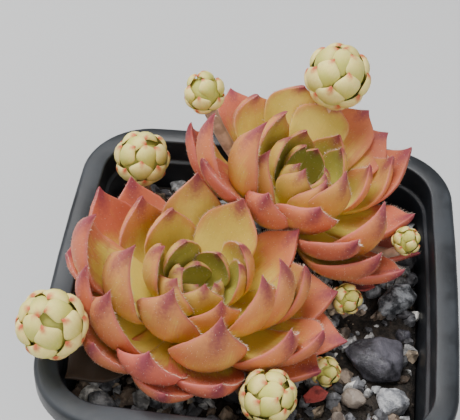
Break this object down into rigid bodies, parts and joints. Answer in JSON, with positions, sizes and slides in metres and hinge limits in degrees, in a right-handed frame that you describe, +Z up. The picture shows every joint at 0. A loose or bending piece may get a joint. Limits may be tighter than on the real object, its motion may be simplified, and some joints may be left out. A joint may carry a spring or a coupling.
{
  "type": "potted hens and chicks succulent",
  "caption": "Hens and chicks succulent in a square black nursery pot: cupped rosettes of pointed fleshy leaves, round offsets on stolons, gritty dark soil.",
  "frame": {"origin": "centre of the pot's flat underside", "axes": "+Z up out of the pot, -Y towards the side of the pot that is nearest in the picture, +X to the right there"},
  "size_m": [0.0935, 0.0997, 0.1084],
  "materials": {
    "pot": "moulded black plastic, dusty",
    "soil": "damp dark potting mix with fine grit",
    "leaf_front": "golden to pink fleshy leaf with a purple point, finely hairy",
    "leaf_back": "orange to pink fleshy leaf with a maroon point, finely hairy",
    "chick": "cream and green scale leaves with small red points",
    "shed_leaf": "dry dark red leaf",
    "stone_slate": "rough dark slate",
    "stone_mottled": "rough grey with black mottling",
    "stone_granite": "rough speckled light grey",
    "stone_tan": "rough tan",
    "stone_pale": "smooth off-white"
  },
  "bodies": {
    "root": {"pot": "pot", "soil": "soil", "hen_front": "leaf_front", "hen_back": "leaf_back", "chick_left": "chick", "chick_back_left": "chick", "chick_upper_left": "chick", "chick_upper_right": "chick", "chick_middle": "chick", "chick_front": "chick", "chick_right": "chick", "chick_low_right": "chick", "fallen_leaf_right": "shed_leaf", "fallen_leaf_front": "shed_leaf", "stone_slate": "stone_slate", "stone_mottled": "stone_mottled", "stone_dark": "stone_slate", "stone_granite": "stone_granite", "stone_tan": "stone_tan", "stone_brown": "stone_tan", "stone_white": "stone_pale", "stone_plum": "stone_slate", "stone_back_left": "stone_mottled", "stone_left": "stone_slate", "stone_front_left": "stone_granite", "stone_back": "stone_tan", "stone_back_right": "stone_slate"}
  },
  "joints": []
}
